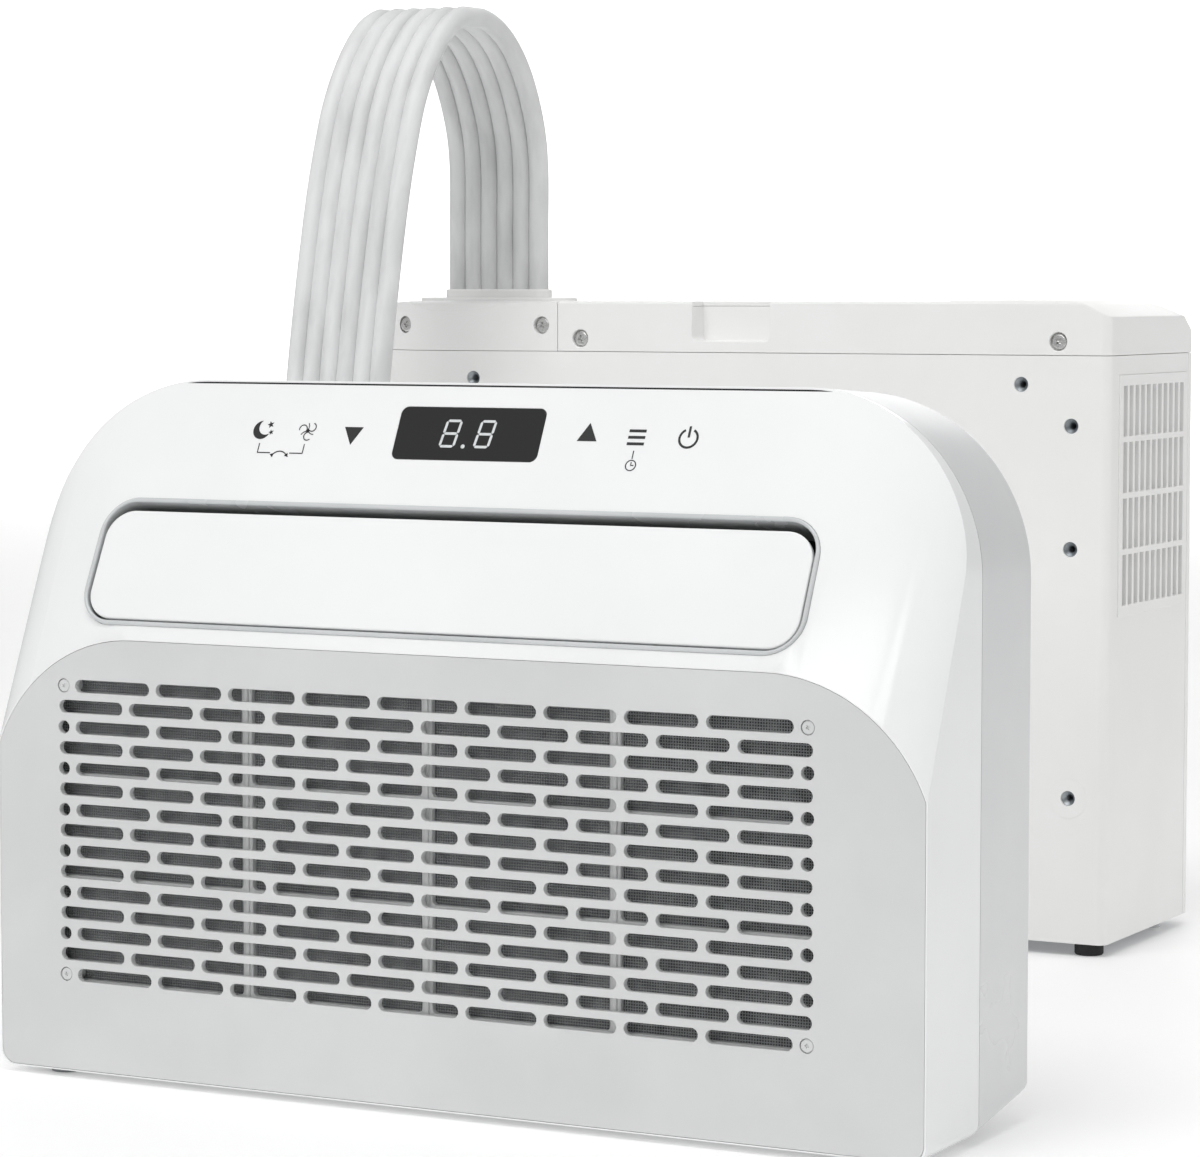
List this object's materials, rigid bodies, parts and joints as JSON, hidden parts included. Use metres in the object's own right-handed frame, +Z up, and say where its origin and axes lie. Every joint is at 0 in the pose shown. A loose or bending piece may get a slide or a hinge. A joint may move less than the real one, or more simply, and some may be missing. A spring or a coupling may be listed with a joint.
{
  "type": "split window air conditioner",
  "caption": "Compact window air conditioner: an indoor unit with slotted panel and sloped outlet flap, joined over the sill to a boxy outdoor unit by a ribbon of insulated tubes.",
  "frame": {"origin": "on the floor under the middle of the box around both units, hoses left out", "axes": "+Z up, -Y towards the room that the indoor front panel faces, +X to the right seen from the room"},
  "size_m": [0.563, 0.632, 0.4936],
  "materials": {
    "gloss_white": "glossy",
    "satin_white": "satin",
    "cabinet_white": "satin",
    "filter_black": "woven",
    "trim_grey": "satin",
    "motor_steel": "satin",
    "duct_grey": "satin",
    "black_plastic": "satin",
    "sintered_bronze": "satin",
    "fin_aluminium": "mill finish",
    "copper_tube": "bright copper",
    "board_green": "satin",
    "window_black": "glossy",
    "icon_ink": "printed ink",
    "screw_steel": "satin",
    "rubber_grey": "matt",
    "zinc_steel": "satin",
    "rubber_black": "matt",
    "black_paint": "gloss paint",
    "foam_white": "smooth jacket"
  },
  "bodies": {
    "units": {"front_casing": "gloss_white", "grille_panel": "satin_white", "panel_screws": "satin_white", "filter_frame": "cabinet_white", "filter_mesh": "filter_black", "outlet_trim": "trim_grey", "flap_motor": "motor_steel", "scroll_housing": "duct_grey", "blower_motor": "motor_steel", "blower_bearing": "sintered_bronze", "evaporator_fins": "fin_aluminium", "evaporator_tubes": "copper_tube", "drip_tray": "cabinet_white", "control_board": "board_green", "led_module": "black_plastic", "display_window": "window_black", "touch_icons": "icon_ink", "rear_casing": "gloss_white", "rear_screws": "screw_steel", "indoor_feet": "rubber_grey", "indoor_hose_inlet": "cabinet_white", "power_inlet": "black_plastic", "base_pan": "zinc_steel", "outdoor_shell": "cabinet_white", "rear_panel": "cabinet_white", "top_cover": "cabinet_white", "gland_housing": "cabinet_white", "outdoor_hose_flange": "cabinet_white", "side_grille": "cabinet_white", "cover_screws": "screw_steel", "threaded_inserts": "zinc_steel", "rubber_feet": "rubber_black", "drain_nipple": "trim_grey", "condenser_fins": "fin_aluminium", "condenser_tubes": "copper_tube", "fan_shroud": "cabinet_white", "fan_motor": "motor_steel", "motor_bracket": "zinc_steel", "partition": "zinc_steel", "compressor": "black_paint", "compressor_mounts": "rubber_black", "accumulator": "black_paint", "electrical_box": "zinc_steel", "run_capacitor": "fin_aluminium", "hose_tube_1": "foam_white", "hose_tube_2": "foam_white", "hose_tube_3": "foam_white", "hose_tube_4": "foam_white", "hose_tube_5": "foam_white", "hose_tube_6": "foam_white"},
    "flap": {"outlet_flap": "gloss_white"},
    "link": {"vane_link": "duct_grey"},
    "blower": {"blower_wheel": "black_plastic"},
    "condenser_fan_rotor": {"condenser_fan": "black_plastic"},
    "vane_1": {"air_vane_1": "duct_grey"},
    "vane_2": {"air_vane_2": "duct_grey"},
    "vane_3": {"air_vane_3": "duct_grey"},
    "vane_4": {"air_vane_4": "duct_grey"},
    "vane_5": {"air_vane_5": "duct_grey"},
    "vane_6": {"air_vane_6": "duct_grey"}
  },
  "joints": [
    {"name": "flap_swing", "type": "hinge", "parent": "units", "child": "flap", "pos_m": [0.0535, -0.28913, 0.21824], "axis": [-1, 0, 0], "range_deg": [0, 75]},
    {"name": "vane_1_turn", "type": "hinge", "parent": "units", "child": "vane_1", "pos_m": [-0.0865, -0.23763, 0.22105], "axis": [0, 0.5323, 0.8466], "range_deg": [-25, 25]},
    {"name": "vane_2_turn", "type": "hinge", "parent": "units", "child": "vane_2", "pos_m": [-0.0305, -0.23763, 0.22105], "axis": [0, 0.5323, 0.8466], "range_deg": [-25, 25]},
    {"name": "vane_3_turn", "type": "hinge", "parent": "units", "child": "vane_3", "pos_m": [0.0255, -0.23763, 0.22105], "axis": [0, 0.5323, 0.8466], "range_deg": [-25, 25]},
    {"name": "vane_4_turn", "type": "hinge", "parent": "units", "child": "vane_4", "pos_m": [0.0815, -0.23763, 0.22105], "axis": [0, 0.5323, 0.8466], "range_deg": [-25, 25]},
    {"name": "vane_5_turn", "type": "hinge", "parent": "units", "child": "vane_5", "pos_m": [0.1375, -0.23763, 0.22105], "axis": [0, 0.5323, 0.8466], "range_deg": [-25, 25]},
    {"name": "vane_6_turn", "type": "hinge", "parent": "units", "child": "vane_6", "pos_m": [0.1935, -0.23763, 0.22105], "axis": [0, 0.5323, 0.8466], "range_deg": [-25, 25]},
    {"name": "link_slide", "type": "slide", "parent": "units", "child": "link", "axis": [1, 0, 0], "range_m": [-0.0026, 0.0026]},
    {"name": "blower_spin", "type": "hinge", "parent": "units", "child": "blower", "pos_m": [0.0535, -0.244, 0.143], "axis": [1, 0, 0], "continuous": true},
    {"name": "condenser_fan_spin", "type": "hinge", "parent": "units", "child": "condenser_fan_rotor", "pos_m": [0.02, 0.274, 0.1565], "axis": [0, 1, 0], "continuous": true}
  ],
  "couplings": [
    {"joint": "vane_1_turn", "follows": "link_slide", "rad_per_m": -166.67},
    {"joint": "vane_2_turn", "follows": "link_slide", "rad_per_m": -166.67},
    {"joint": "vane_3_turn", "follows": "link_slide", "rad_per_m": -166.67},
    {"joint": "vane_4_turn", "follows": "link_slide", "rad_per_m": -166.67},
    {"joint": "vane_5_turn", "follows": "link_slide", "rad_per_m": -166.67},
    {"joint": "vane_6_turn", "follows": "link_slide", "rad_per_m": -166.67}
  ]
}
